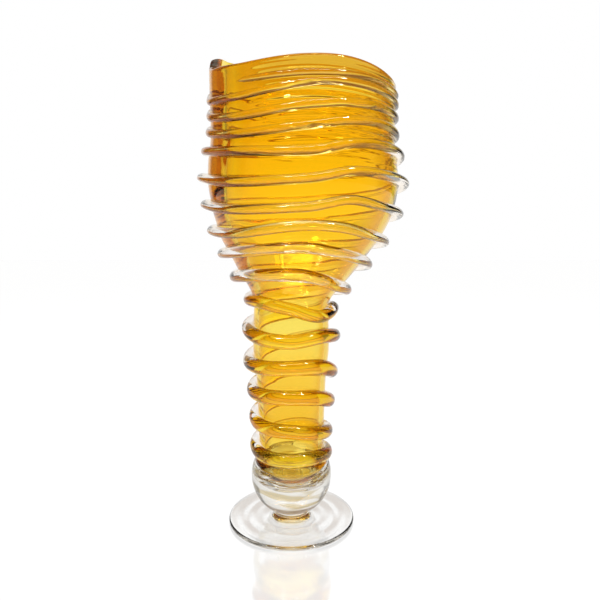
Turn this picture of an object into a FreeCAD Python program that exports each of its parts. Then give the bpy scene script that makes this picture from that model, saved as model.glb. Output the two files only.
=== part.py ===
"""Footed vase of hand-blown glass with a clear thread wound round it.

Millimetres, +Z up. The origin is the centre of the foot's underside, on the axis of the stem.
Azimuths are in degrees, anticlockwise from +X seen from above. The lip's ear is at 180 degrees.
"""
import FreeCAD
import Part
import math
import os

# Foot: a disc ground flat underneath, with a rolled edge and a brim that flares up to the merese
foot_radius = 49.2
foot_edge_thickness = 3.2
foot_flare_radius = 24.0
foot_flare_height = 3.8
foot_throat_radius = 17.6
foot_throat_height = 4.6
foot_centre_height = 6.2

# Merese: the short waisted neck between the foot and the knop
merese_height = 3.6
merese_end_radius = 13.8
merese_waist_radius = 12.2

# Knop: the thick gather that cups the bottom of the stem
knop_height = 44.0
knop_radius = 31.2
knop_bottom_radius = 15.0
knop_floor = 18.0
knop_clearance = 0.3

# Stem: a long tube, closed and rounded at the bottom
stem_length = 146.0
stem_bottom_radius = 24.2
stem_top_radius = 28.6
stem_end_height = 16.0
stem_pole_radius = 3.0
stem_wall = 4.0
stem_floor = 6.0

# Bowl: the funnel, the widest ring and the straight mouth above it
funnel_height = 85.0
funnel_wall = 5.4
bowl_radius = 65.8
bowl_shift = 13.2
bowl_wall = 3.8
mouth_height = 71.0
mouth_radius = 62.8
mouth_shift = 13.4

# Lip: its bead, its wavy height, and the ear, where the bowl leans out at one side and its wall is thick
lip_wall = 3.4
rim_rise = 26.0
ear_reach = 9.5
ear_angle = 50.0
ear_wall = 5.5
ear_wall_angle = 47.0

# Thread: thick where it starts on the stem, fine where it ends under the lip
thread_width = 11.2
thread_depth = 10.4
thread_sink = 1.6
thread_tail_width = 2.6
thread_least_gap = 0.4

# Counts, and the azimuths that they start from
ring_points = 24
thread_sides = 8
turn_points = 4
ear_azimuth = 180.0
full_turn = 360.0
half = 0.5
sewing_tolerance = 0.01

# Heights that the sizes above add up to
knop_bottom = foot_centre_height + merese_height
knop_top = knop_bottom + knop_height
stem_bottom = knop_bottom + knop_floor
neck_height = stem_bottom + stem_length
bowl_height = neck_height + funnel_height
lip_height = bowl_height + mouth_height

# Rounded end of the stem: share of a quarter circle
stem_end_shares = [0.00, 0.30, 0.55, 0.78, 1.00]
# Stem above that end: share of its height, share of its growth in radius
stem_shares = [(0.36, 0.30), (0.50, 0.46), (0.62, 0.66), (0.74, 1.10), (0.86, 1.06), (0.95, 0.96)]
# Funnel: share of its height, share of its growth in radius, share of the bowl's sideways shift
funnel_shares = [(0.00, 0.00, 0.06), (0.12, 0.16, 0.20), (0.25, 0.38, 0.32), (0.40, 0.60, 0.45),
                 (0.56, 0.81, 0.60), (0.72, 0.93, 0.80), (0.87, 0.98, 0.95), (1.00, 1.00, 1.00)]
# Mouth: share of its height, share of the change from the bowl's radius to its own
mouth_shares = [(0.22, 0.35), (0.42, 1.05), (0.60, 1.15), (0.80, 1.05), (1.00, 1.00)]
# Bead: shares of the half circle over the lip
bead_shares = [0.25, 0.50, 0.75]
# Knop: share of its height, share of its bulge from the bottom's radius; two arcs share the middle one
knop_shares = [(0.00, 0.00), (0.20, 0.66), (0.56, 1.00), (0.80, 0.93), (1.00, 0.64)]
# How far the rim's wave, the ear and its thick wall reach down: share of the lip's height, share of the form
wave_fade_shares = [(0.78, 0.00), (0.84, 0.08), (0.90, 0.34), (0.95, 0.68), (1.00, 1.00)]
ear_fade_shares = [(0.63, 0.00), (0.70, 0.30), (0.74, 0.62), (0.79, 0.88), (0.86, 1.00), (1.00, 1.00)]
ear_wall_fade_shares = [(0.50, 0.00), (0.62, 0.60), (0.70, 0.60), (0.80, 1.00), (1.00, 1.00)]
# The rim's height: share of a turn from +X, share of the rim's rise
rim_shares = [(0.00, -0.02), (0.06, 0.34), (0.12, 0.68), (0.25, 0.86), (0.34, 0.95), (0.41, 0.98),
              (0.45, 0.90), (0.49, 0.78), (0.51, 0.48), (0.54, 0.26), (0.58, 0.14), (0.64, 0.04),
              (0.74, 0.09), (0.80, 0.10), (0.86, 0.03), (0.93, -0.09), (0.97, -0.10), (1.00, -0.02)]
# Wall thickness: share of the way from the stem's bottom to the lip, with the wall that it has there
wall_shares = [(0.00, stem_wall), (0.46, stem_wall), (0.53, funnel_wall), (0.62, funnel_wall),
               (0.76, bowl_wall), (1.00, lip_wall)]

# Thread: heights at the right, front, left and back of each turn, as shares of the way from knop to lip
thread_start_share = -0.0037
thread_height_shares = [
    (0.0047, 0.0155, 0.0284, 0.0476),
    (0.0666, 0.0957, 0.1105, 0.1325),
    (0.1542, 0.1891, 0.1889, 0.2137),
    (0.2378, 0.2712, 0.2721, 0.3046),
    (0.3373, 0.3388, 0.3627, 0.3882),
    (0.4151, 0.4227, 0.4438, 0.4587),
    (0.4744, 0.5224, 0.5102, 0.5250),
    (0.5404, 0.5887, 0.5732, 0.5866),
    (0.6004, 0.6363, 0.6329, 0.6517),
    (0.6707, 0.6757, 0.7002, 0.7216),
    (0.7429, 0.7377, 0.7666, 0.7885),
    (0.8118, 0.7981, 0.8273, 0.8470),
    (0.8698, 0.8555, 0.8719, 0.8925),
    (0.9171, 0.8996, 0.9056, 0.9259),
    (0.9510, 0.9449, 0.9358, 0.9570),
    (0.9761, 0.9652, 0.9651),
]
# Thread, turn by turn: shares of its greatest width, of its greatest depth and of its greatest sink
thread_width_shares = [0.96, 0.96, 1.00, 1.00, 0.96, 0.84, 0.78, 0.66,
                       0.62, 0.58, 0.58, 0.58, 0.54, 0.52, 0.46, 0.38]
thread_depth_shares = [0.86, 0.84, 0.92, 1.00, 1.00, 0.90, 0.96, 0.92,
                       0.90, 0.90, 0.88, 0.70, 0.50, 0.42, 0.38, 0.34]
thread_sink_shares = [1.00, 1.00, 1.00, 1.00, 1.00, 0.90, 0.80, 0.80,
                      0.80, 0.80, 0.80, 0.90, 1.00, 1.00, 1.00, 1.00]


def smooth_value(table, place, column=1):
    """A smooth value between the rows of a table whose first column rises."""
    last = len(table) - 1
    if place <= table[0][0]:
        return table[0][column]
    if place >= table[last][0]:
        return table[last][column]
    row = max(i for i in range(last) if table[i][0] <= place)

    def slope(i):
        low, high = table[max(i - 1, 0)], table[min(i + 1, last)]
        return (high[column] - low[column]) / (high[0] - low[0])

    start, end = table[row], table[row + 1]
    span = end[0] - start[0]
    rise = end[column] - start[column]
    t = (place - start[0]) / span
    bend_in = slope(row) * span - rise
    bend_out = rise - slope(row + 1) * span
    return start[column] + t * rise + t * (1 - t) * ((1 - t) * bend_in + t * bend_out)


def hump(azimuth, middle, spread):
    """A smooth hump of height 1 round the middle azimuth."""
    off = (azimuth - middle + full_turn / 2) % full_turn - full_turn / 2
    return math.exp(-(off / spread) ** 2)


def outline_rows(bottom, pole, thinner):
    """Rows of height, radius and sideways shift up the bubble, for a skin that lies inside the outer one."""
    rows = []
    for share in stem_end_shares:
        turn = math.pi / 2 * share
        end_height = stem_bottom + stem_end_height - bottom
        height = bottom + end_height * (1 - math.cos(turn))
        radius = pole + (stem_bottom_radius - thinner * stem_wall - pole) * math.sin(turn)
        rows.append((height, radius, 0.0))
    for up, out in stem_shares:
        height = stem_bottom + up * stem_length
        radius = stem_bottom_radius + out * (stem_top_radius - stem_bottom_radius)
        rows.append((height, radius - thinner * wall_at(height), 0.0))
    for up, out, shift in funnel_shares:
        height = neck_height + up * funnel_height
        radius = stem_top_radius + out * (bowl_radius - stem_top_radius)
        rows.append((height, radius - thinner * wall_at(height), shift * bowl_shift))
    for up, change in mouth_shares:
        height = bowl_height + up * mouth_height
        radius = bowl_radius + change * (mouth_radius - bowl_radius)
        shift = bowl_shift + change * (mouth_shift - bowl_shift)
        rows.append((height, radius - thinner * wall_at(height), shift))
    return rows


def wall_at(height):
    """Thickness of the bubble's wall at a height."""
    return smooth_value(wall_shares, (height - stem_bottom) / (lip_height - stem_bottom))


def ring_point(azimuth, height, radius, shift, lift=0.0, inward=0.0):
    """A point on the bubble, with the ear and the rim's wave; inward is 0 outside and 1 on the inner skin."""
    up = height / lip_height
    turn = azimuth % full_turn / full_turn
    ear = ear_reach * smooth_value(ear_fade_shares, up) * hump(azimuth, ear_azimuth, ear_angle)
    thick = ear_wall * smooth_value(ear_wall_fade_shares, up) * hump(azimuth, ear_azimuth, ear_wall_angle)
    reach = radius + ear - inward * thick
    wave = rim_rise * smooth_value(rim_shares, turn) * smooth_value(wave_fade_shares, up)
    angle = math.radians(azimuth)
    return FreeCAD.Vector(shift + reach * math.cos(angle), reach * math.sin(angle), height + wave + lift)


def ring_wire(height, radius, shift, lift=0.0, inward=0.0):
    """One closed smooth ring round the bubble."""
    azimuths = [full_turn * i / ring_points for i in range(ring_points)]
    points = [ring_point(azimuth, height, radius, shift, lift, inward) for azimuth in azimuths]
    curve = Part.BSplineCurve()
    curve.interpolate(Points=points, PeriodicFlag=True)
    return Part.Wire([curve.toShape()])


def closed_solid(faces):
    """One solid from faces that meet edge to edge, turned outwards."""
    solid = Part.Solid(Part.Shell(faces))
    solid.fix(sewing_tolerance, sewing_tolerance, sewing_tolerance)
    return solid.Solids[0]


def build_vessel():
    """The amber bubble: its outer skin, its lip's bead and its inner skin, closed by two small flat poles."""
    outer = [ring_wire(*row) for row in outer_rows]
    inner = [ring_wire(*row, inward=1.0) for row in inner_rows]
    top_height, top_radius, top_shift = outer_rows[-1]
    bead = [outer[-1]]
    for share in bead_shares:
        angle = math.pi * share
        inward = (1 - math.cos(angle)) / 2
        lift = lip_wall / 2 * math.sin(angle)
        bead.append(ring_wire(top_height, top_radius - lip_wall * inward, top_shift, lift, inward))
    bead.append(inner[-1])
    faces = [Part.Face(outer[0]), Part.Face(inner[0])]
    for wires in (outer, bead, inner):
        faces += Part.makeLoft(wires, False, True).Faces
    return closed_solid(faces)


def turned(edges):
    """The solid that a closed profile beside the axis makes when it is turned once round."""
    profile = Part.Face(Part.Wire(edges))
    return profile.revolve(FreeCAD.Vector(0, 0, 0), FreeCAD.Vector(0, 0, 1), full_turn).Solids[0]


def build_knop():
    """The clear gather: a turned bulb with a cup that follows the bubble's rounded end."""
    bulge = knop_radius - knop_bottom_radius
    sides = []
    for up, out in knop_shares:
        sides.append(FreeCAD.Vector(knop_bottom_radius + out * bulge, 0, knop_bottom + up * knop_height))
    stem_rows = outer_rows[:len(stem_end_shares) + 1]
    cup = [FreeCAD.Vector(radius + knop_clearance, 0, height) for height, radius, _ in stem_rows]
    pole = FreeCAD.Vector(0, 0, stem_bottom - knop_clearance)
    cup[0].z = pole.z
    brim = FreeCAD.Vector(smooth_value(outer_rows, knop_top) + knop_clearance, 0, knop_top)
    curve = Part.BSplineCurve()
    curve.interpolate(cup[:-1] + [brim])
    bottom = FreeCAD.Vector(0, 0, knop_bottom)
    return turned([Part.makeLine(bottom, sides[0]), Part.Arc(*sides[:3]).toShape(),
                   Part.Arc(*sides[2:]).toShape(), Part.makeLine(sides[-1], brim), curve.toShape(),
                   Part.makeLine(cup[0], pole), Part.makeLine(pole, bottom)])


def build_merese():
    """The waisted neck: an arc turned round the axis."""
    end_low = FreeCAD.Vector(merese_end_radius, 0, foot_centre_height)
    waist = FreeCAD.Vector(merese_waist_radius, 0, foot_centre_height + merese_height / 2)
    end_high = FreeCAD.Vector(merese_end_radius, 0, knop_bottom)
    low, high = FreeCAD.Vector(0, 0, foot_centre_height), FreeCAD.Vector(0, 0, knop_bottom)
    return turned([Part.Arc(end_low, waist, end_high).toShape(), Part.makeLine(end_high, high),
                   Part.makeLine(high, low), Part.makeLine(low, end_low)])


def build_foot():
    """The foot: a flat underside, a rolled edge and a brim that flares up to the merese."""
    edge = foot_edge_thickness / 2
    top_outer = FreeCAD.Vector(foot_radius - edge, 0, foot_edge_thickness)
    rim = FreeCAD.Vector(foot_radius, 0, edge)
    bottom_outer = FreeCAD.Vector(foot_radius - edge, 0, 0)
    crown = FreeCAD.Vector(0, 0, foot_centre_height)
    seat = FreeCAD.Vector(merese_end_radius, 0, foot_centre_height)
    flare = FreeCAD.Vector(foot_flare_radius, 0, foot_flare_height)
    throat = FreeCAD.Vector(foot_throat_radius, 0, foot_throat_height)
    middle = FreeCAD.Vector(0, 0, 0)
    return turned([Part.Arc(bottom_outer, rim, top_outer).toShape(), Part.makeLine(top_outer, flare),
                   Part.Arc(flare, throat, seat).toShape(), Part.makeLine(seat, crown),
                   Part.makeLine(crown, middle), Part.makeLine(middle, bottom_outer)])


def thread_stations():
    """Rows of turn number, azimuth and height along the thread, from the knop up to the lip."""
    wound_height = lip_height - knop_top
    rows = [(0, full_turn / turn_points, knop_top + thread_start_share * wound_height)]
    for turn, heights in enumerate(thread_height_shares):
        for quarter, share in enumerate(heights):
            rows.append((turn, -full_turn * quarter / turn_points, knop_top + share * wound_height))
    return rows


def thread_section(position):
    """Width, depth and sink of the thread at a station; it thins to a tail at its upper end."""
    turn = stations[position][0]
    width = thread_width * thread_width_shares[turn]
    depth = thread_depth * thread_depth_shares[turn]
    sink = thread_sink * thread_sink_shares[turn]
    if position == last_station:
        depth *= thread_tail_width / width
        width = thread_tail_width
    return width, depth, sink


def thread_centre(position):
    """Centre of the thread at a station, so that its sink lies inside the wall."""
    _, azimuth, height = stations[position]
    _, depth, sink = thread_section(position)
    below = smooth_value(outer_rows, height - thread_width / 2)
    above = smooth_value(outer_rows, height + thread_width / 2)
    lean = math.hypot(1, (above - below) / thread_width)
    radius = smooth_value(outer_rows, height, 1) + (depth / 2 - sink) * lean
    return ring_point(azimuth, height, radius, smooth_value(outer_rows, height, 2))


def thread_outline(position, centre, way):
    """The thread's outline: flats round an oval, square to its way, its depth pointing out of the wall."""
    width, depth, _ = thread_section(position)
    angle = math.radians(stations[position][1])
    out = FreeCAD.Vector(math.cos(angle), math.sin(angle), 0)
    out = (out - way * out.dot(way)).normalize()
    up = way.cross(out)
    spread = half / math.cos(math.pi / thread_sides)
    corners = []
    for i in range(thread_sides):
        turn = math.radians(full_turn * (i + half) / thread_sides)
        across = out * (depth * spread * math.cos(turn)) + up * (width * spread * math.sin(turn))
        corners.append(centre + across)
    return Part.makePolygon(corners + corners[:1])


def biarc(start, start_way, end, end_way):
    """Two arcs that run smoothly from start to end, each as its start, middle and end point."""
    chord = end - start
    along = chord.dot(start_way + end_way)
    spread = 2 * (1 - start_way.dot(end_way))
    reach = (math.sqrt(along * along + spread * chord.dot(chord)) - along) / spread
    corner_in, corner_out = start + start_way * reach, end - end_way * reach
    joint = (corner_in + corner_out) * half
    return [arc_points(start, corner_in, joint), arc_points(joint, corner_out, end)]


def arc_points(start, corner, end):
    """Start, middle and end of the arc whose end tangents meet at the corner."""
    chord_middle = (start + end) * half
    half_chord = (end - start).Length / 2
    height = (corner - chord_middle).Length
    sagitta = half_chord * height / (math.hypot(half_chord, height) + half_chord)
    return start, chord_middle + (corner - chord_middle) * (sagitta / height), end


def least_thread_gap(path):
    """Least gap between one turn of the thread and the next, from points along it."""
    gaps = []
    for i, (place, width) in enumerate(path):
        for other, other_width in path[i + 2 * turn_points:]:
            gaps.append((place - other).Length - (width + other_width) / 2)
    return min(gaps)


def build_thread():
    """The thread: one unbroken tube, swept quarter turn by quarter turn, sunk a little in the wall."""
    centres = [thread_centre(position) for position in range(last_station + 1)]
    ways = []
    for i in range(last_station + 1):
        ways.append((centres[min(i + 1, last_station)] - centres[max(i - 1, 0)]).normalize())
    outlines = [thread_outline(i, centres[i], ways[i]) for i in range(last_station + 1)]
    faces = [Part.Face(outlines[0]), Part.Face(outlines[-1])]
    path = []
    for i in range(last_station):
        arcs = biarc(centres[i], ways[i], centres[i + 1], ways[i + 1])
        for start, middle, _ in arcs:
            width = thread_section(i)[0]
            path += [(start, width), (middle, width)]
        spine = Part.Wire([Part.Arc(*arc).toShape() for arc in arcs])
        faces += spine.makePipeShell([outlines[i], outlines[i + 1]], False, False).Faces
    gap = least_thread_gap(path)
    print("least gap between turns of the thread:", round(gap, 2), "mm; allowed:", thread_least_gap, "mm")
    return closed_solid(faces)


outer_rows = outline_rows(stem_bottom, stem_pole_radius, 0)
inner_rows = outline_rows(stem_bottom + stem_floor, stem_pole_radius, 1)
stations = thread_stations()
last_station = len(stations) - 1

pieces = {
    "amber_vessel": build_vessel(),
    "spiral_trail": build_thread(),
    "base_knop": build_knop(),
    "merese": build_merese(),
    "foot": build_foot(),
}
os.makedirs("parts", exist_ok=True)
for name, piece in pieces.items():
    piece.exportStep("parts/" + name + ".step")
    print(name, "volume", round(piece.Volume), "cubic mm, valid:", piece.isValid())
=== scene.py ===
# %% [markdown]
# A blown glass vase, modelled around its CAD frame
#
# The object is a tall vase of amber glass: a long hollow stem that opens through a funnel into a wide bowl
# with a wavy lip. A thread of clear glass is wound round it from the knop up to the lip, and it stands on
# a clear knop, a short neck and a clear disc foot. Glass has hardly a colour of its own: it shows what lies
# behind it, bent and tinted. So this lesson spends its effort on smooth shapes of the right thickness, on
# joints that light doesn't notice, and on plain bright surroundings.
#
# The first step loads the CAD model. Each of its nodes gets a smoother piece here, in the same place.

# %% The frame
import math

import bmesh
import bpy
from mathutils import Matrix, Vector, noise
from mathutils.bvhtree import BVHTree


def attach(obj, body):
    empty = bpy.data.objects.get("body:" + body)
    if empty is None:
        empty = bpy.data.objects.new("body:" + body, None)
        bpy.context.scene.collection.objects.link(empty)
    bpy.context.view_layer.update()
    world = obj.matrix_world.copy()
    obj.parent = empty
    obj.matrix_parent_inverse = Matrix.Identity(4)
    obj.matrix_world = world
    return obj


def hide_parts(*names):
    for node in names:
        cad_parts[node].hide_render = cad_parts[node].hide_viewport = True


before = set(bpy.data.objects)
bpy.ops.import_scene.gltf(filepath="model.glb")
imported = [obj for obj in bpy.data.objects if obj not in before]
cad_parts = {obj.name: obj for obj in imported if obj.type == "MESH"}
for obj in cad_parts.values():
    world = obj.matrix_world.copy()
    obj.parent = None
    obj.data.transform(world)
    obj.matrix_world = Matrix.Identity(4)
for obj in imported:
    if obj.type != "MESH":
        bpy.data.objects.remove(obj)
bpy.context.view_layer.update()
print("nodes:", sorted(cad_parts))

# %% [markdown]
# The camera
#
# A photograph of a round foot tells where the camera stood: the more open the foot's ellipse, the higher
# the camera. The lens follows from how fast the ellipses of the thread change from the foot to the lip.
# The camera looks a little down, from the height of the funnel.

# %% Camera
camera_place = Vector((0.0068, -0.4046, 0.2183))
camera_pitch = math.radians(6.25)
camera_lens = 32.0
camera_near = 0.01

camera = bpy.data.objects.new("camera", bpy.data.cameras.new("camera"))
bpy.context.scene.collection.objects.link(camera)
camera.location = camera_place
camera.rotation_euler = (math.pi / 2 - camera_pitch, 0, 0)
camera.data.lens = camera_lens
camera.data.clip_start = camera_near
bpy.context.scene.camera = camera
print("camera at", tuple(camera.location), "lens", camera.data.lens)

# %% [markdown]
# The outline of the bubble
#
# The amber bubble is one skin of revolution that was pushed a little to one side while it was hot, so its
# outline is a table of heights, radii and sideways shifts. A smooth curve runs through the rows. The lip's
# wave, the ear that is pulled out at the left and the thick wall beside it are added to the round shape:
# each fades out lower down.

# %% Sizes of the vase
knop_bottom = 0.0098
knop_height = 0.044
stem_bottom = 0.0278
stem_length = 0.146
stem_end_height = 0.016
stem_pole_radius = 0.003
stem_bottom_radius = 0.0242
stem_top_radius = 0.0286
stem_floor = 0.006
stem_wall = 0.004
funnel_wall = 0.0054
bowl_wall = 0.0038
lip_wall = 0.0034
funnel_height = 0.085
bowl_radius = 0.0658
bowl_shift = 0.0132
mouth_height = 0.071
mouth_radius = 0.0628
mouth_shift = 0.0134
rim_rise = 0.02597
ear_reach = 0.0095
ear_wall = 0.0055
ear_place_share = 0.5
ear_turn_share = 50 / 360
ear_wall_turn_share = 47 / 360

neck_height = stem_bottom + stem_length
bowl_height = neck_height + funnel_height
lip_height = bowl_height + mouth_height
print("heights of the neck, the bowl and the lip:", neck_height, bowl_height, lip_height)

# %% Shares of those sizes, from the bottom up
stem_end_shares = [0.0, 0.30, 0.55, 0.78, 1.0]
stem_shares = [(0.36, 0.30), (0.50, 0.46), (0.62, 0.66), (0.74, 1.10), (0.86, 1.06), (0.95, 0.96)]
funnel_shares = [(0.0, 0.0, 0.06), (0.12, 0.16, 0.20), (0.25, 0.38, 0.32), (0.40, 0.60, 0.45),
                 (0.56, 0.81, 0.60), (0.72, 0.93, 0.80), (0.87, 0.98, 0.95), (1.0, 1.0, 1.0)]
mouth_shares = [(0.22, 0.35), (0.42, 1.05), (0.60, 1.15), (0.80, 1.05), (1.0, 1.0)]
wave_fade_shares = [(0.78, 0.0), (0.84, 0.08), (0.90, 0.34), (0.95, 0.68), (1.0, 1.0)]
ear_fade_shares = [(0.63, 0.0), (0.70, 0.30), (0.74, 0.62), (0.79, 0.88), (0.86, 1.0), (1.0, 1.0)]
ear_wall_fade_shares = [(0.50, 0.0), (0.62, 0.60), (0.70, 0.60), (0.80, 1.0), (1.0, 1.0)]
rim_shares = [(0.0, -0.02), (0.06, 0.34), (0.12, 0.68), (0.25, 0.86), (0.34, 0.95), (0.41, 0.98),
              (0.45, 0.90), (0.49, 0.78), (0.51, 0.48), (0.54, 0.26), (0.58, 0.14), (0.64, 0.04),
              (0.74, 0.09), (0.80, 0.10), (0.86, 0.03), (0.93, -0.09), (0.97, -0.10), (1.0, -0.02)]
wall_shares = [(0.0, stem_wall), (0.46, stem_wall), (0.53, funnel_wall), (0.62, funnel_wall),
               (0.76, bowl_wall), (1.0, lip_wall)]


# %% Helpers that read the tables
def smooth_value(table, place, column=1):
    """A smooth value between the rows of a table whose first column rises."""
    last = len(table) - 1
    if place <= table[0][0]:
        return table[0][column]
    if place >= table[last][0]:
        return table[last][column]
    row = max(i for i in range(last) if table[i][0] <= place)

    def slope(i):
        low, high = table[max(i - 1, 0)], table[min(i + 1, last)]
        return (high[column] - low[column]) / (high[0] - low[0])

    start, end = table[row], table[row + 1]
    span = end[0] - start[0]
    climb = end[column] - start[column]
    t = (place - start[0]) / span
    bend_in = slope(row) * span - climb
    bend_out = climb - slope(row + 1) * span
    return start[column] + t * climb + t * (1 - t) * ((1 - t) * bend_in + t * bend_out)


def wall_at(height):
    """Thickness of the bubble's wall at a height."""
    return smooth_value(wall_shares, (height - stem_bottom) / (lip_height - stem_bottom))


def outline_table(bottom, inside):
    """Rows of height, radius and shift up a skin; inside is 0 for the outer skin and 1 for the inner."""
    rows = []
    for share in stem_end_shares:
        turn = math.pi / 2 * share
        height = bottom + (stem_bottom + stem_end_height - bottom) * (1 - math.cos(turn))
        reach = stem_bottom_radius - inside * stem_wall - stem_pole_radius
        rows.append((height, stem_pole_radius + reach * math.sin(turn), 0.0))
    for up, out in stem_shares:
        height = stem_bottom + up * stem_length
        radius = stem_bottom_radius + out * (stem_top_radius - stem_bottom_radius)
        rows.append((height, radius - inside * wall_at(height), 0.0))
    for up, out, shift in funnel_shares:
        height = neck_height + up * funnel_height
        radius = stem_top_radius + out * (bowl_radius - stem_top_radius)
        rows.append((height, radius - inside * wall_at(height), shift * bowl_shift))
    for up, change in mouth_shares:
        height = bowl_height + up * mouth_height
        radius = bowl_radius + change * (mouth_radius - bowl_radius)
        shift = bowl_shift + change * (mouth_shift - bowl_shift)
        rows.append((height, radius - inside * wall_at(height), shift))
    return rows


outer_table = outline_table(stem_bottom, 0)
inner_table = outline_table(stem_bottom + stem_floor, 1)
print("widest radius:", max(row[1] for row in outer_table), "lip at", lip_height)


# %% The bubble's form, from a round shape to the real one
def hump(turn, middle, spread):
    """A smooth hump of height 1 round the middle; all three are shares of a turn."""
    off = (turn - middle + 0.5) % 1 - 0.5
    return math.exp(-(off / spread) ** 2)


def wall_point(turn, height, radius, lift=0.0, inward=0.0):
    """A point of the bubble at a share of a turn anticlockwise from +X, with its shift, ear and wave."""
    up = height / lip_height
    ear = ear_reach * smooth_value(ear_fade_shares, up) * hump(turn, ear_place_share, ear_turn_share)
    thick_share = smooth_value(ear_wall_fade_shares, up) * hump(turn, ear_place_share, ear_wall_turn_share)
    reach = radius + ear - inward * ear_wall * thick_share
    wave = rim_rise * smooth_value(rim_shares, turn % 1) * smooth_value(wave_fade_shares, up)
    angle = 2 * math.pi * turn
    shift = smooth_value(outer_table, height, 2)
    return Vector((shift + reach * math.cos(angle), reach * math.sin(angle), height + wave + lift))


# %% [markdown]
# Turning a piece
#
# A glass blower makes every piece by turning it, and the spin operator does the same: a line of points is
# turned round the axis. The line is drawn point by point with the extrude operator, from the axis out and
# back to the axis, so that the skin closes. Doubles at the poles are merged before the normals are turned
# outwards.

# %% Drawing a line and turning it
seam_distance = 0.00001


def drawn_line(bm, points):
    """A chain of vertices through the points, each pulled out of the one before."""
    vert = bmesh.ops.create_vert(bm, co=points[0])["vert"][0]
    for point in points[1:]:
        pulled = bmesh.ops.extrude_vert_indiv(bm, verts=[vert])["verts"][0]
        pulled.co = point
        vert = pulled
    return bm.verts[:] + bm.edges[:]


def turned_mesh(points, steps):
    """A closed mesh that the line of points makes when it is turned once round the Z axis."""
    bm = bmesh.new()
    line = drawn_line(bm, points)
    bmesh.ops.spin(bm, geom=line, cent=(0, 0, 0), axis=(0, 0, 1), dvec=(0, 0, 0), angle=2 * math.pi,
                   steps=steps, use_merge=True, use_duplicate=False)
    bmesh.ops.remove_doubles(bm, verts=bm.verts[:], dist=seam_distance)
    bmesh.ops.recalc_face_normals(bm, faces=bm.faces[:])
    return bm


def turn_of(place):
    """Share of a turn at which a point lies, anticlockwise from +X."""
    return math.atan2(place.y, place.x) / (2 * math.pi)


# %% [markdown]
# The amber bubble
#
# The bubble could be a surface with a Solidify modifier, but its wall isn't even: it is thick where the
# funnel leaves the stem and thin at the lip, and it is this thickness that bends the light. So both skins
# are drawn: up the outside, over the rounded lip and down the inside. The round mesh is then pushed into
# its real form, point by point, with a slight unevenness that the blower's breath leaves.

# %% Bubble
outer_rings = 190
inner_rings = 130
bead_rings = 10
bubble_steps = 192
breath_size = 0.045
breath_depth = 0.00035
end_rings = 14


def skin_heights(table, rings):
    """Heights up a skin, closer together round the stem's end."""
    bottom, end = table[0][0], stem_bottom + stem_end_height
    turns = [math.pi / 2 * i / end_rings for i in range(1, end_rings)]
    low = [bottom + (end - bottom) * (1 - math.cos(turn)) for turn in turns]
    return low + [end + (lip_height - end) * i / rings for i in range(rings + 1)]


outer_line = [(h, smooth_value(outer_table, h)) for h in skin_heights(outer_table, outer_rings)]
inner_line = [(h, smooth_value(inner_table, h)) for h in skin_heights(inner_table, inner_rings)]
line = [Vector((0, 0, outer_table[0][0]))]
line += [Vector((radius, 0, height)) for height, radius in outer_line]
for i in range(1, bead_rings):
    angle = math.pi * i / bead_rings
    radius = outer_line[-1][1] - lip_wall / 2 * (1 - math.cos(angle))
    line.append(Vector((radius, 0, lip_height + lip_wall / 2 * math.sin(angle))))
line += [Vector((radius, 0, height)) for height, radius in reversed(inner_line)]
line.append(Vector((0, 0, inner_table[0][0])))

bubble = turned_mesh(line, bubble_steps)
inner_layer = bubble.verts.layers.float.new("inner_skin")
for vert in bubble.verts:
    place = vert.co.copy()
    radius = math.hypot(place.x, place.y)
    height = min(place.z, lip_height)
    inward = min(max((smooth_value(outer_table, height) - radius) / wall_at(height), 0.0), 1.0)
    if height < inner_table[0][0] - seam_distance:
        inward = 0.0
    vert[inner_layer] = inward
    moved = wall_point(turn_of(place), height, radius, place.z - height, inward)
    breath = abs(noise.noise(moved / breath_size)) * breath_depth * min(radius / stem_bottom_radius, 1.0)
    out = Vector((place.x, place.y, 0)) / max(radius, seam_distance)
    vert.co = moved + out * (breath if inward > 0.5 else -breath)
print("bubble:", len(bubble.verts), "vertices,", len(bubble.faces), "faces")

# %% [markdown]
# The wound thread
#
# The thread is a soft rod that was laid on the turning bubble, so it follows the wall, a little sunk in it,
# and sways up and down where the hand wasn't steady. A curve with a bevel would keep a round section and
# can't lean with the wall. Here a straight rod is made first, by moving a circle along Z with the spin
# operator, and each of its rings is then laid at its place on the wall: depth away from the wall, width
# along it.

# %% Thread sizes
thread_width = 0.0112
thread_depth = 0.0104
thread_sink = 0.0016
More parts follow.
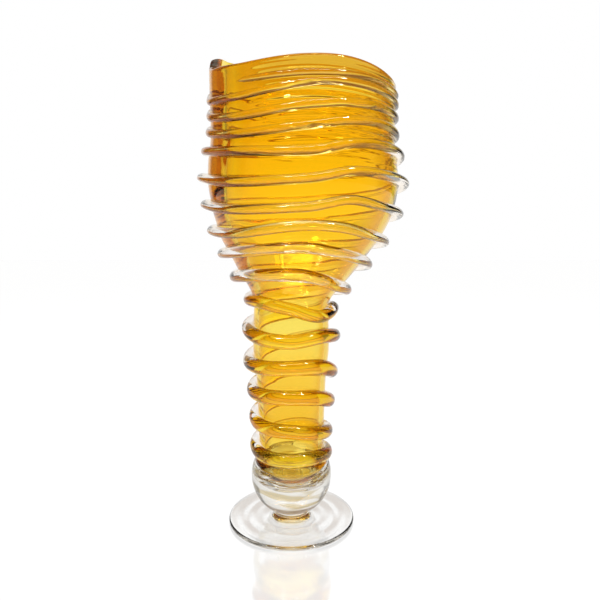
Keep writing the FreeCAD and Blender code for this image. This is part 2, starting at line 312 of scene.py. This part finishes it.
# Heights as shares of the lip's height, at these shares of each turn, clockwise from +X
thread_turn_shares = [0.0, 0.125, 0.1875, 0.25, 0.375, 0.5, 0.75]
thread_height_shares = [
    (0.1671, 0.1749, 0.1767, 0.1761, 0.1774, 0.1869, 0.2030),
    (0.2189, 0.2320, 0.2382, 0.2432, 0.2460, 0.2556, 0.2740),
    (0.2922, 0.3130, 0.3192, 0.3214, 0.3196, 0.3212, 0.3420),
    (0.3621, 0.3870, 0.3913, 0.3901, 0.3868, 0.3908, 0.4180),
    (0.4454, 0.4549, 0.4515, 0.4467, 0.4522, 0.4667, 0.4880),
    (0.5105, 0.4990, 0.5053, 0.5169, 0.5341, 0.5345, 0.5470),
    (0.5601, 0.5759, 0.5895, 0.6003, 0.5960, 0.5901, 0.6025),
    (0.6154, 0.6350, 0.6465, 0.6558, 0.6461, 0.6428, 0.6540),
    (0.6656, 0.6811, 0.6931, 0.6956, 0.6818, 0.6928, 0.7085),
    (0.7244, 0.7349, 0.7432, 0.7286, 0.7273, 0.7491, 0.7670),
    (0.7848, 0.7930, 0.7946, 0.7805, 0.7790, 0.8047, 0.8230),
    (0.8425, 0.8500, 0.8460, 0.8310, 0.8375, 0.8555, 0.8720),
    (0.8910, 0.8960, 0.8900, 0.8791, 0.8721, 0.8928, 0.9100),
    (0.9306, 0.9270, 0.9220, 0.9160, 0.9053, 0.9210, 0.9380),
    (0.9590, 0.9600, 0.9580, 0.9539, 0.9423, 0.9463, 0.9640),
    (0.9800, 0.9760, 0.9720, 0.9709, 0.9708),
]
thread_width_shares = [0.96, 0.96, 1.0, 1.0, 0.96, 0.84, 0.78, 0.66,
                       0.62, 0.58, 0.58, 0.58, 0.54, 0.52, 0.46, 0.38]
thread_depth_shares = [0.86, 0.84, 0.92, 1.0, 1.0, 0.90, 0.96, 0.92,
                       0.90, 0.90, 0.88, 0.70, 0.50, 0.42, 0.38, 0.34]
thread_sink_shares = [1.0, 1.0, 1.0, 1.0, 1.0, 0.90, 0.80, 0.80,
                      0.80, 0.80, 0.80, 0.90, 1.0, 1.0, 1.0, 1.0]
thread_start = (-0.25, 0.1515 * lip_height)

thread_sections = [(thread_width * width_share, thread_depth * depth_share, thread_sink * sink_share)
                   for width_share, depth_share, sink_share
                   in zip(thread_width_shares, thread_depth_shares, thread_sink_shares)]
thread_table = [thread_start + thread_sections[0]]
for turn, shares in enumerate(thread_height_shares):
    for part_of_turn, share in zip(thread_turn_shares, shares):
        thread_table.append((turn + part_of_turn, share * lip_height) + thread_sections[turn])
print("thread: rows", len(thread_table), "turns", round(thread_table[-1][0] - thread_table[0][0], 2))

# %% Laying the thread
rings_per_turn = 72
thread_sides = 20
tip_share = 1.5
least_tip_share = 0.05
nudge = 0.0004


def wall_surface(turn, height):
    """A point on the bubble's outer skin and the way out of it."""
    def skin(step_turn, step_height):
        place = height + step_height
        return wall_point(turn + step_turn, place, smooth_value(outer_table, place))

    along = skin(nudge, 0) - skin(-nudge, 0)
    upward = skin(0, nudge) - skin(0, -nudge)
    return skin(0, 0), along.cross(upward).normalized()


def thread_station(place):
    """Centre of the thread at a number of turns, the way out of the wall, and its width and depth."""
    height, width, depth, sink = (smooth_value(thread_table, place, column) for column in (1, 2, 3, 4))
    surface, out = wall_surface(-place, height)
    ends = min(place - thread_table[0][0], thread_table[-1][0] - place) * 2 * math.pi
    tip = min(ends * smooth_value(outer_table, height) / (tip_share * thread_width), 1.0)
    round_tip = max(math.sqrt(1 - (1 - tip) ** 2), least_tip_share)
    return surface + out * (depth / 2 - sink), out, width * round_tip, depth * round_tip


first, last = thread_table[0][0], thread_table[-1][0]
thread_rings = round((last - first) * rings_per_turn)
stations = [thread_station(first + (last - first) * i / thread_rings) for i in range(thread_rings + 1)]

thread = bmesh.new()
ring = bmesh.ops.create_circle(thread, cap_ends=False, radius=1.0, segments=thread_sides)["verts"]
bmesh.ops.spin(thread, geom=ring + thread.edges[:], cent=(0, 0, 0), axis=(0, 0, 1), dvec=(0, 0, 1),
               angle=0.0, steps=thread_rings, use_merge=False, use_duplicate=False)
bmesh.ops.holes_fill(thread, edges=[edge for edge in thread.edges if edge.is_boundary], sides=0)
for vert in thread.verts:
    i = round(vert.co.z)
    centre, out, width, depth = stations[i]
    way = (stations[min(i + 1, thread_rings)][0] - stations[max(i - 1, 0)][0]).normalized()
    across = way.cross(out).normalized()
    vert.co = centre + out * (vert.co.x * depth / 2) + across * (vert.co.y * width / 2)
bmesh.ops.recalc_face_normals(thread, faces=thread.faces[:])
print("thread:", len(thread.verts), "vertices,", len(thread.faces), "faces")

# %% [markdown]
# Knop, neck and foot
#
# These three are plain turned pieces. The knop is the thick clear gather that holds the bubble's end. Its
# hollow follows that end at a hair's distance, and its brim reaches into the bubble's wall, as glass that
# was melted on. The neck reaches a little into the foot and into the knop, so that the three are one glass.

# %% Sizes of the lower pieces
knop_radius = 0.0312
knop_bottom_radius = 0.015
knop_side_shares = [(0.0, 0.0), (0.06, 0.32), (0.14, 0.54), (0.24, 0.74), (0.36, 0.89), (0.48, 0.97),
                    (0.60, 1.0), (0.72, 0.98), (0.84, 0.90), (0.93, 0.78), (1.0, 0.62)]
knop_floor_shares = (0.0, 0.4, 0.8, 0.9, 0.96)
knop_points = 60
cup_gap = 0.0003
weld_depth = 0.0012
weld_height = 0.0465
merese_end_radius = 0.0138
merese_curve_radius = 0.0126
merese_curve_height = 0.0008
merese_waist_radius = 0.0122
merese_inset = 0.001
merese_points = 20
foot_top = 0.0062
foot_radius = 0.0492
foot_edge = 0.0032
foot_edge_inset = 0.001
foot_edge_steps = 14
foot_points = 70
foot_floor_radii = (0.02, 0.04)
foot_crown_radii = (0.0125, 0.008)
foot_ring_rows = [(0.043, 0.0032), (0.039, 0.0036), (0.034, 0.0033), (0.029, 0.0038), (0.023, 0.0038),
                  (0.0176, 0.0046)]
overlap = 0.0006
lower_steps = 160


def smooth_line(rows, count):
    """Points along a smooth line through rows of radius and height, evenly by row."""
    table = [(i, radius, height) for i, (radius, height) in enumerate(rows)]
    places = [(len(rows) - 1) * i / count for i in range(count + 1)]
    return [Vector((smooth_value(table, p, 1), 0, smooth_value(table, p, 2))) for p in places]


# %% Knop
bulge = knop_radius - knop_bottom_radius
knop_top = knop_bottom + knop_height
side_rows = [(knop_bottom_radius + out * bulge, knop_bottom + up * knop_height)
             for up, out in knop_side_shares]
cup = []
for height, radius in outer_line:
    if height < knop_top:
        cup.append((height, radius + (cup_gap if height < weld_height else -weld_depth)))
knop_line = [Vector((knop_bottom_radius * share, 0, knop_bottom)) for share in knop_floor_shares]
knop_line += smooth_line(side_rows, knop_points)
knop_line += [Vector((radius, 0, height - cup_gap)) for height, radius in reversed(cup)]
knop_line.append(Vector((0, 0, stem_bottom - cup_gap)))
knop = turned_mesh(knop_line, lower_steps)
print("knop:", len(knop.verts), "vertices")

# %% Neck between knop and foot
neck_low = foot_top - overlap
neck_high = knop_bottom + overlap
neck_rows = [(merese_end_radius, foot_top), (merese_curve_radius, foot_top + merese_curve_height),
             (merese_waist_radius, (foot_top + knop_bottom) / 2),
             (merese_curve_radius, knop_bottom - merese_curve_height), (merese_end_radius, knop_bottom)]
neck_line = [Vector((0, 0, neck_low)), Vector((merese_end_radius - merese_inset, 0, neck_low))]
neck_line += smooth_line(neck_rows, merese_points)
neck_line += [Vector((merese_end_radius - merese_inset, 0, neck_high)), Vector((0, 0, neck_high))]
neck = turned_mesh(neck_line, lower_steps)
print("neck:", len(neck.verts), "vertices")

# %% Foot
edge = foot_edge / 2
edge_angles = [math.pi * i / foot_edge_steps for i in range(foot_edge_steps + 1)]
top_rows = [(foot_radius - edge - foot_edge_inset, foot_edge)] + foot_ring_rows
top_rows.append((merese_end_radius, foot_top))
foot_line = [Vector((0, 0, 0))] + [Vector((radius, 0, 0)) for radius in foot_floor_radii]
foot_line += [Vector((foot_radius - edge + edge * math.sin(angle), 0, edge - edge * math.cos(angle)))
              for angle in edge_angles]
foot_line += smooth_line(top_rows, foot_points)
foot_line += [Vector((radius, 0, foot_top)) for radius in foot_crown_radii] + [Vector((0, 0, foot_top))]
foot = turned_mesh(foot_line, lower_steps)
print("foot:", len(foot.verts), "vertices")

# %% [markdown]
# Joints that light doesn't notice
#
# The pieces were melted together, so between them there is no surface at all: light goes straight on. Where
# one piece's skin lies inside another piece it has to vanish. Each vertex gets the depth at which it lies
# inside a neighbour, measured to the neighbour's skin, and the glass fades to nothing where that depth
# is above zero.

# %% Depth inside the neighbours
most_depth = 0.002
skew_way = Vector((0.31, 0.52, 0.80)).normalized()


def lies_inside(tree, place):
    """Whether a point is inside a closed skin: a line from it then crosses the skin oddly often."""
    crossings = 0
    hit = tree.ray_cast(place, skew_way)[0]
    while hit is not None:
        crossings += 1
        hit = tree.ray_cast(hit + skew_way * seam_distance, skew_way)[0]
    return crossings % 2 == 1


def depth_inside(tree, place):
    """How deep a point lies inside a closed skin; below zero outside it."""
    found, normal, _, _ = tree.find_nearest(place)
    depth = min((place - found).length, most_depth)
    facing_in = (place - found).dot(normal) < 0
    return depth if facing_in and lies_inside(tree, place) else -depth


def mark_buried(bm, neighbours):
    """Stores on each vertex how deep it lies inside any of the neighbours."""
    layer = bm.verts.layers.float.new("buried")
    for vert in bm.verts:
        vert[layer] = max(depth_inside(tree, vert.co) for tree in neighbours)


skins = {"bubble": bubble, "thread": thread, "knop": knop, "neck": neck, "foot": foot}
trees = {name: BVHTree.FromBMesh(bm) for name, bm in skins.items()}
mark_buried(bubble, [trees["thread"], trees["knop"]])
mark_buried(thread, [trees["bubble"], trees["knop"]])
mark_buried(knop, [trees["bubble"], trees["thread"], trees["neck"]])
mark_buried(neck, [trees["knop"], trees["foot"]])
mark_buried(foot, [trees["neck"]])
print("joints measured")

# %% [markdown]
# Shader arithmetic
#
# A material is a small network of nodes. To keep it readable, one class stands for a value in the network
# and lets the usual signs add the Math nodes.

# %% Values in a material
class Value:
    """One output of a node, with arithmetic that adds Math nodes."""

    def __init__(self, tree, socket):
        self.tree, self.socket = tree, socket

    def maths(self, operation, *others):
        """A Math node on this value and the others."""
        values = dict(enumerate((self,) + others))
        return make_node(self.tree, "ShaderNodeMath", {"operation": operation}, values)

    def __add__(self, other):
        return self.maths("ADD", other)

    def __sub__(self, other):
        return self.maths("SUBTRACT", other)

    def __mul__(self, other):
        return self.maths("MULTIPLY", other)

    def __truediv__(self, other):
        return self.maths("DIVIDE", other)

    def __rsub__(self, other):
        return make_node(self.tree, "ShaderNodeMath", {"operation": "SUBTRACT"}, {0: other, 1: self})

    __radd__, __rmul__ = __add__, __mul__

    def clamped(self):
        """The value kept between 0 and 1."""
        return make_node(self.tree, "ShaderNodeClamp", {}, {"Value": self})


def make_node(tree, kind, settings, inputs, output=0):
    """Adds a node, sets it up, feeds its sockets and returns one output as a value."""
    node = tree.nodes.new(kind)
    for name, setting in settings.items():
        if name == "stops":
            ramp = node.color_ramp
            while len(ramp.elements) < len(setting):
                ramp.elements.new(1.0)
            for element, (place, colour) in zip(ramp.elements, setting):
                element.position, element.color = place, colour + (1.0,)
        else:
            setattr(node, name, setting)
    for name, given in inputs.items():
        if isinstance(given, Value):
            tree.links.new(given.socket, node.inputs[name])
        else:
            node.inputs[name].default_value = given
    return Value(tree, node.outputs[output])


def mix_colour(tree, factor, first_colour, second_colour):
    """A colour between two colours; the node's colour sockets are 6 and 7, and its colour output is 2."""
    sockets = {0: factor, 6: first_colour, 7: second_colour}
    return make_node(tree, "ShaderNodeMix", {"data_type": "RGBA"}, sockets, 2)


# %% [markdown]
# Glass
#
# A glass shader bends light at the skin and tints it once there. Real glass also takes colour along the way
# that light travels in it, so thick places are deeper: a volume that only absorbs light does that. A skin
# that is buried in a neighbour must not bend light, so it fades to nothing there, or it leaves a plain
# colour, like a layer between the two glasses: a stain of amber where the thread is melted on, and a pale
# painted reflection of the amber end at the joint under the knop.

# %% Helpers for glass
glass_bend = 1.5
vanish = 20000.0
bump_reach = 0.001
white = (1.0, 1.0, 1.0, 1.0)


def new_tree(name):
    """A new material and its empty tree."""
    material = bpy.data.materials.new(name)
    material.use_nodes = True
    material.node_tree.nodes.clear()
    return material, material.node_tree


def place_on_piece(tree):
    """The place on a piece as a vector, and as its distances to the right, to the back and up."""
    place = make_node(tree, "ShaderNodeTexCoord", {}, {}, "Object")
    split = make_node(tree, "ShaderNodeSeparateXYZ", {}, {"Vector": place}).socket.node
    return place, *(Value(tree, socket) for socket in split.outputs)


def noise_on(tree, place, scale, detail):
    """Soft random light and dark over a piece."""
    return make_node(tree, "ShaderNodeTexNoise", {}, {"Vector": place, "Scale": scale, "Detail": detail})


def rise(tree, value, limits):
    """A smooth rise from 0 to 1 while the value goes from the first limit to the second."""
    return make_node(tree, "ShaderNodeMapRange", {"interpolation_type": "SMOOTHSTEP"},
                     {"Value": value, "From Min": limits[0], "From Max": limits[1]})


def band(tree, value, limits):
    """1 within a band: it rises between the first two limits and falls between the last two."""
    return rise(tree, value, limits[:2]) * (1 - rise(tree, value, limits[2:]))


def edge_shade_share(tree):
    """How much of the glass is seen edge on, which places the painted edge shade: 0 where it is faced, 1
    where it is only grazed.
    """
    return make_node(tree, "ShaderNodeLayerWeight", {}, {"Blend": 0.5}, "Facing")


def finish_glass(tree, colour, ripple, way, thickness, sheen, joint, stain_and_reflection, roughness=None):
    """Glass that vanishes where its skin is buried in a neighbour, or leaves a colour there: a stain, or a
    painted reflection under the knop.
    """
    buried = make_node(tree, "ShaderNodeAttribute", {"attribute_name": "buried"}, {}, "Fac")
    shown = (0.5 - buried * vanish).clamped()
    smooth = make_node(tree, "ShaderNodeBump", {},
                       {"Strength": 1.0, "Distance": bump_reach, "Height": ripple})
    glass = tree.nodes.new("ShaderNodeBsdfPrincipled")
    glass.inputs["Transmission Weight"].default_value = 1.0
    glass.inputs["IOR"].default_value = glass_bend
    glass.inputs["Roughness"].default_value = 0.0
    glass.inputs["Specular Tint"].default_value = sheen
    if roughness is not None:
        tree.links.new(roughness.socket, glass.inputs["Roughness"])
    for value, name in ((colour, "Base Color"), (shown, "Alpha"), (smooth, "Normal")):
        tree.links.new(value.socket, glass.inputs[name])
    # The colour left on a buried skin: a stain of amber, or under the knop a painted reflection
    stain_and_reflection_layer = make_node(tree, "ShaderNodeBsdfTransparent", {}, {"Color": stain_and_reflection})
    surface = make_node(tree, "ShaderNodeMixShader", {},
                        {0: (1 - shown) * joint, 1: Value(tree, glass.outputs[0]), 2: stain_and_reflection_layer})
    output = tree.nodes.new("ShaderNodeOutputMaterial")
    tree.links.new(surface.socket, output.inputs["Surface"])
    if thickness:
        volume = make_node(tree, "ShaderNodeVolumeAbsorption", {}, {"Color": way, "Density": thickness})
        tree.links.new(volume.socket, output.inputs["Volume"])


# %% [markdown]
# Clear glass
#
# The clear glass is nearly colourless and smooth, with the faint ripple of a surface that cooled in the air.
# Seen edge on it gets a grey painted shade, for the dark outline that its edges mirror. The thread gets a
# brown painted shade there, for the amber that its edges bend light from, and it has no volume, because its
# sunk side lies in the amber, where two volumes would both take colour. The knop holds painted golden
# streaks, for the streaks that bent light draws in it, over a ripple from the same noise. The joint under
# the knop gets a pale painted reflection of the amber end above it, and the neck is a little rough, so that
# no sharp sparkle sits in it.

# %% Clear glass, for the thread and for knop, neck and foot
clear_tint = (0.99, 0.985, 0.97, 1.0)
# Painted shade for the edges, where the glass is seen edge on: grey on the clear glass
clear_edge_shade = (0.12, 0.10, 0.07, 1.0)
clear_sharpness = 4.0
clear_thickness = 4.0
clear_way = (0.30, 0.22, 0.0, 1.0)
clear_ripple_scale = 60.0
clear_ripple_depth = 0.1
# Brown painted edge shade on the thread
thread_edge_shade = (0.56, 0.32, 0.07, 1.0)
thread_sharpness = 2.2
thread_sheen = (1.0, 0.86, 0.55, 1.0)
knop_limits = (0.010, 0.016, 0.050, 0.054)
knop_sharpness = 1.8
# Painted golden streaks in the knop, where bent light would draw streaks
knop_painted_streak_tint = (0.56, 0.41, 0.14, 1.0)
knop_streak_scale = (28.0, 28.0, 110.0)
knop_streak_lean = (0.0, 0.25, 0.0)
knop_painted_streak_limits = (0.50, 0.58)
knop_painted_streak_strength = 0.9
knop_streak_depth = 1.5
# A pale painted reflection of the amber end, on the joint under the knop
base_reflection_limits = (0.0094, 0.0096, 0.0100, 0.0102)
base_painted_reflection = (0.98, 0.92, 0.74, 1.0)
neck_limits = (0.0056, 0.0066, 0.0098, 0.0108)
neck_roughness = 0.3

clear_materials = {}
clear_table = [("thread_glass", 0.0, thread_edge_shade, thread_sharpness, thread_sheen),
               ("clear_glass", clear_thickness, clear_edge_shade, clear_sharpness, white)]
for name, thickness, edge_shade, sharpness, sheen in clear_table:
    clear_materials[name], tree = new_tree(name)
    place, _, _, level = place_on_piece(tree)
    ripple = noise_on(tree, place, clear_ripple_scale, detail=2.0)
    drawn = make_node(tree, "ShaderNodeMapping", {},
                      {"Vector": place, "Scale": knop_streak_scale, "Rotation": knop_streak_lean})
    knop_streaks = noise_on(tree, drawn, 1.0, detail=1.0)
    knop_share = band(tree, level, knop_limits)
    tint = mix_colour(tree, ripple, clear_tint, white)
    # Painted streaks in the knop
    tint = mix_colour(tree, rise(tree, knop_streaks, knop_painted_streak_limits) * knop_share * knop_painted_streak_strength, tint, knop_painted_streak_tint)
    steepness = sharpness - knop_share * (sharpness - knop_sharpness)
    # Painted edge shade, deeper where the glass is more nearly grazed
    tint = mix_colour(tree, edge_shade_share(tree).maths("POWER", steepness), tint, edge_shade)
    relief = ripple * clear_ripple_depth + knop_streaks * knop_share * knop_streak_depth
    # The joint under the knop carries the painted reflection
    finish_glass(tree, tint, relief, clear_way, thickness, sheen, band(tree, level, base_reflection_limits), base_painted_reflection,
                 band(tree, level, neck_limits) * neck_roughness)
print("clear materials:", list(clear_materials))

# %% [markdown]
# Amber glass
#
# The amber takes much of its colour along the light's way through its thick wall. The blower's second layer
# of colour lies on the inner skin: a ramp up the height, a little cloudy, makes it deeper up the bowl and
# pale at both ends of the stem. A darker painted shade lies on the front of the lip. Where the amber is seen
# edge on a painted shade deepens it, less by the ear. The outer skin has only a breath of yellow, and more
# by the ear. Where thread and stem were melted together the joint keeps a stain of amber, so that the coils
# there look deeper.

# %% Amber glass
amber_thickness = 90.0
amber_way = (0.92, 0.778, 0.0, 1.0)
amber_sheen = (1.0, 0.72, 0.10, 1.0)
# Painted shade for the amber's edges, where the glass is seen edge on
amber_edge_shade = (0.84, 0.50, 0.01, 1.0)
amber_edge_shade_limits = (0.30, 0.62)
outer_tint = (1.0, 0.96, 0.55, 1.0)
ear_tint = (1.0, 0.93, 0.15, 1.0)
# A lighter painted edge shade by the ear
ear_edge_shade = (0.94, 0.74, 0.02, 1.0)
ear_limits = (-0.052, -0.036)
# Painted shade on the front of the lip
lip_shade_tint = (0.48, 0.170, 0.0025, 1.0)
lip_shade_up_limits = (0.312, 0.321)
lip_shade_front_limits = (0.0, 0.03)
lip_shade_side_limits = (-0.045, -0.005)
cloud_scale = 22.0
cloud_strength = 0.06
layer_height = 0.34
layer_stops = [(0.15, (1.0, 0.95, 0.50)), (0.21, (0.92, 0.60, 0.11)), (0.29, (0.94, 0.65, 0.15)),
               (0.37, (1.0, 0.75, 0.22)), (0.46, (1.0, 0.92, 0.46)), (0.54, (0.98, 0.68, 0.11)),
               (0.64, (0.98, 0.66, 0.06)), (0.76, (0.95, 0.56, 0.012)), (0.86, (0.91, 0.48, 0.005)),
               (0.97, (0.84, 0.43, 0.008))]

amber_material, tree = new_tree("amber_glass")
place, across, back, level = place_on_piece(tree)
forward = 0.0 - back
cloud = noise_on(tree, place, cloud_scale, detail=3.0)
layer_place = level / layer_height + (cloud - 0.5) * cloud_strength
layer = make_node(tree, "ShaderNodeValToRGB", {"stops": layer_stops}, {"Fac": layer_place})
# Painted shade on the inner skin at the front of the lip
lip_shade_share = rise(tree, level, lip_shade_up_limits) * rise(tree, forward, lip_shade_front_limits)
layer = mix_colour(tree, lip_shade_share * rise(tree, across, lip_shade_side_limits), layer, lip_shade_tint)
inner = make_node(tree, "ShaderNodeAttribute", {"attribute_name": "inner_skin"}, {}, "Fac")
past_ear = rise(tree, across, ear_limits)
colour = mix_colour(tree, inner, mix_colour(tree, past_ear, ear_tint, outer_tint), layer)
# Painted shade where the amber is seen edge on
edge_shade = mix_colour(tree, past_ear, ear_edge_shade, amber_edge_shade)
colour = mix_colour(tree, rise(tree, edge_shade_share(tree), amber_edge_shade_limits), colour, edge_shade)

print("amber colour:", len(layer_stops), "stops up the height")

# %% [markdown]
# Ripples of the amber glass
#
# The blower's tools leave fine ripples that are drawn out round the vase. They show from the upper bowl to
# the lip, away from the ear, and a fainter wave lies over all the glass. They are too fine for the mesh, so
# noise that is stretched round the vase tilts the surface instead.

# %% Ripples and finish of the amber glass
wave_scale = (14.0, 14.0, 60.0)
wave_depth = 0.15
sway_scale = 7.0
sway_height = 0.014
streak_round_scale = 4.0
streak_up_scale = 230.0
streak_up_limits = (0.250, 0.290)
streak_side_limits = (-0.030, 0.0)
streak_depth = 2.0
joint_tint = (0.96, 0.80, 0.12, 1.0)
joint_limits = (0.052, 0.056, 0.18, 0.23)

stretched = make_node(tree, "ShaderNodeMapping", {}, {"Vector": place, "Scale": wave_scale})
waves = noise_on(tree, stretched, 1.0, detail=2.0)
sway = noise_on(tree, place, sway_scale, detail=0.0)
drawn = make_node(tree, "ShaderNodeCombineXYZ", {},
                  {"X": across * streak_round_scale, "Y": forward * streak_round_scale,
                   "Z": (level + sway * sway_height) * streak_up_scale})
streaks = noise_on(tree, drawn, 1.0, detail=1.0)
streak_share = rise(tree, level, streak_up_limits) * rise(tree, across, streak_side_limits)
relief = waves * wave_depth + streaks * streak_share * streak_depth
finish_glass(tree, colour, relief, amber_way, amber_thickness, amber_sheen, band(tree, level, joint_limits),
             joint_tint)
print("amber material:", amber_material.name)

# %% [markdown]
# The pieces
#
# Each mesh becomes an object that stands for its CAD node. All five ride on the same body, because nothing
# on the vase moves.

# %% Pieces from the meshes
piece_table = [
    ("amber_bubble", bubble, "amber_vessel", "amber_glass", amber_material),
    ("glass_thread", thread, "spiral_trail", "clear_glass", clear_materials["thread_glass"]),
    ("clear_knop", knop, "base_knop", "clear_glass", clear_materials["clear_glass"]),
    ("clear_neck", neck, "merese", "clear_glass", clear_materials["clear_glass"]),
    ("disc_foot", foot, "foot", "clear_glass", clear_materials["clear_glass"]),
]
for name, bm, node, slot, material in piece_table:
    mesh = bpy.data.meshes.new(name)
    for face in bm.faces:
        face.smooth = True
    bm.to_mesh(mesh)
    bm.free()
    piece = bpy.data.objects.new(name, mesh)
    bpy.context.scene.collection.objects.link(piece)
    mesh.materials.append(material)
    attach(piece, "root")
    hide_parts(node)
    print(name, "for", node, len(mesh.polygons), "faces")

# %% [markdown]
# The studio
#
# Glass is photographed against a bright ground. The floor and the world are white to the camera, and nearly
# so to all that is seen through the glass. A dim flag at each side darkens what the glass bends towards it,
# which draws the edges. What the glass mirrors sharply is dim too, but for the ground behind it, and a warm
# band in the ceiling gives the rims of the coils a brown line. The floor is a pale glossy sheet: a share of
# it is plain diffuse, which keeps the shadow, and a share mirrors the foot. Three soft boxes hang above, a
# key at the right, a fill at the left and a wide strip in front that draws long highlights on the coils.

# %% Floor
floor_size = 6.0
floor_drop = 0.0002
shadow_share = 0.12
mirror_share = 0.3
mirrored_world = 0.9
floor_light = 0.60
floor_tint = (0.8, 0.8, 0.8, 1.0)
floor_roughness = 0.08

floor_mesh = bpy.data.meshes.new("floor")
bm = bmesh.new()
bmesh.ops.create_grid(bm, x_segments=1, y_segments=1, size=floor_size)
bmesh.ops.translate(bm, verts=bm.verts[:], vec=(0, 0, -floor_drop))
bm.to_mesh(floor_mesh)
bm.free()
floor = bpy.data.objects.new("floor", floor_mesh)
bpy.context.scene.collection.objects.link(floor)

floor_material, tree = new_tree("studio_floor")
diffuse = make_node(tree, "ShaderNodeBsdfDiffuse", {}, {"Color": floor_tint})
plain_level = (1 - mirror_share * mirrored_world) / (1 - mirror_share)
glow_level = (plain_level - shadow_share * floor_light) / (1 - shadow_share)
glow = make_node(tree, "ShaderNodeEmission", {}, {"Strength": glow_level})
mirror = make_node(tree, "ShaderNodeBsdfGlossy", {}, {"Color": white, "Roughness": floor_roughness})
plain = make_node(tree, "ShaderNodeMixShader", {}, {0: shadow_share, 1: glow, 2: diffuse})
top = make_node(tree, "ShaderNodeMixShader", {}, {0: mirror_share, 1: plain, 2: mirror})
output = tree.nodes.new("ShaderNodeOutputMaterial")
tree.links.new(top.socket, output.inputs["Surface"])
floor_mesh.materials.append(floor_material)
print("floor glows at", glow_level)

# %% World
through_level = 1.16
side_level = 0.1
rough_level = 0.8
ground_limits = (0.72, 0.86)
ceiling_tint = (0.30, 0.17, 0.06, 1.0)
ceiling_through_limits = (0.40, 0.54)
ceiling_mirrored_limits = (0.58, 0.70)
ceiling_end_limits = (0.78, 0.86)
# For each flag: the way to it, the limits within which it begins, and how bright it is
flag_table = [((-0.914, 0.407, 0.0), (0.899, 0.940), 0.45), ((0.883, 0.469, 0.0), (0.914, 0.956), 0.3)]

world = bpy.data.worlds.new("studio")
bpy.context.scene.world = world
world.use_nodes = True
tree = world.node_tree
tree.nodes.clear()
ray_kinds = ("Is Camera Ray", "Is Transmission Ray", "Is Glossy Ray", "Is Singular Ray")
camera_ray, through, glossy, sharp = (make_node(tree, "ShaderNodeLightPath", {}, {}, kind)
                                      for kind in ray_kinds)
way = make_node(tree, "ShaderNodeTexCoord", {}, {}, "Generated")
upward = make_node(tree, "ShaderNodeSeparateXYZ", {}, {"Vector": way}, "Z")
ceiling = through * rise(tree, upward, ceiling_through_limits)
ceiling = ceiling + (1 - through) * rise(tree, upward, ceiling_mirrored_limits)
ceiling = ceiling * (1 - rise(tree, upward, ceiling_end_limits))
tint = mix_colour(tree, ceiling * (1 - camera_ray), white, ceiling_tint)

# %% What the glass sees and what it mirrors
level_way = make_node(tree, "ShaderNodeVectorMath", {"operation": "MULTIPLY"}, {0: way, 1: (1, 1, 0)})
level_way = make_node(tree, "ShaderNodeVectorMath", {"operation": "NORMALIZE"}, {0: level_way})
ahead = make_node(tree, "ShaderNodeSeparateXYZ", {}, {"Vector": level_way}, "Y")
mirrored = mirrored_world * (1 - sharp * (1 - rise(tree, ahead, ground_limits)) * (1 - side_level))
seen = through * through_level
for flag_way, limits, flag_level in flag_table:
    toward = make_node(tree, "ShaderNodeVectorMath", {"operation": "DOT_PRODUCT"},
                       {0: level_way, 1: flag_way}, "Value")
    seen = seen * (1 - rise(tree, toward, limits) * (1 - flag_level))
unseen = (1 - camera_ray - through).clamped()
strength = camera_ray + seen + unseen * (glossy * mirrored + (1 - glossy) * rough_level)
ground = make_node(tree, "ShaderNodeBackground", {}, {"Color": tint, "Strength": strength})
output = tree.nodes.new("ShaderNodeOutputWorld")
tree.links.new(ground.socket, output.inputs["Surface"])
print("world:", len(tree.nodes), "nodes,", len(flag_table), "flags")

# %% Soft boxes
lamp_table = [
    ("key_box", (0.62, -0.40, 1.35), (0.02, 0, 0.25), 0.14, 0.30, 10.0),
    ("fill_box", (-0.40, -0.60, 1.35), (0.0, 0, 0.2), 0.24, 0.12, 7.0),
    ("strip_box", (0.0, -0.48, 1.45), (0.0, 0, 0.2), 1.2, 0.30, 7.0),
]
for name, place, target, width, tall, power in lamp_table:
    data = bpy.data.lights.new(name, "AREA")
    data.shape = "ELLIPSE"
    data.size, data.size_y, data.energy = width, tall, power
    lamp = bpy.data.objects.new(name, data)
    bpy.context.scene.collection.objects.link(lamp)
    lamp.location = place
    lamp.rotation_euler = (Vector(target) - Vector(place)).to_track_quat("-Z", "Y").to_euler()
    print(name, power, "W")

# %% [markdown]
# Long ways for light
#
# Light crosses many skins in this vase before it reaches the ground, so it is given more bounces than usual.

# %% Render settings that glass needs
glass_bounces = 24
gloss_bounces = 12
vanished_bounces = 48

scene = bpy.context.scene
scene.view_settings.view_transform = "Standard"
scene.cycles.max_bounces = glass_bounces
scene.cycles.transmission_bounces = glass_bounces
scene.cycles.glossy_bounces = gloss_bounces
scene.cycles.transparent_max_bounces = vanished_bounces
scene.cycles.caustics_reflective = False
scene.cycles.caustics_refractive = False
print("bounces:", glass_bounces, gloss_bounces, vanished_bounces)
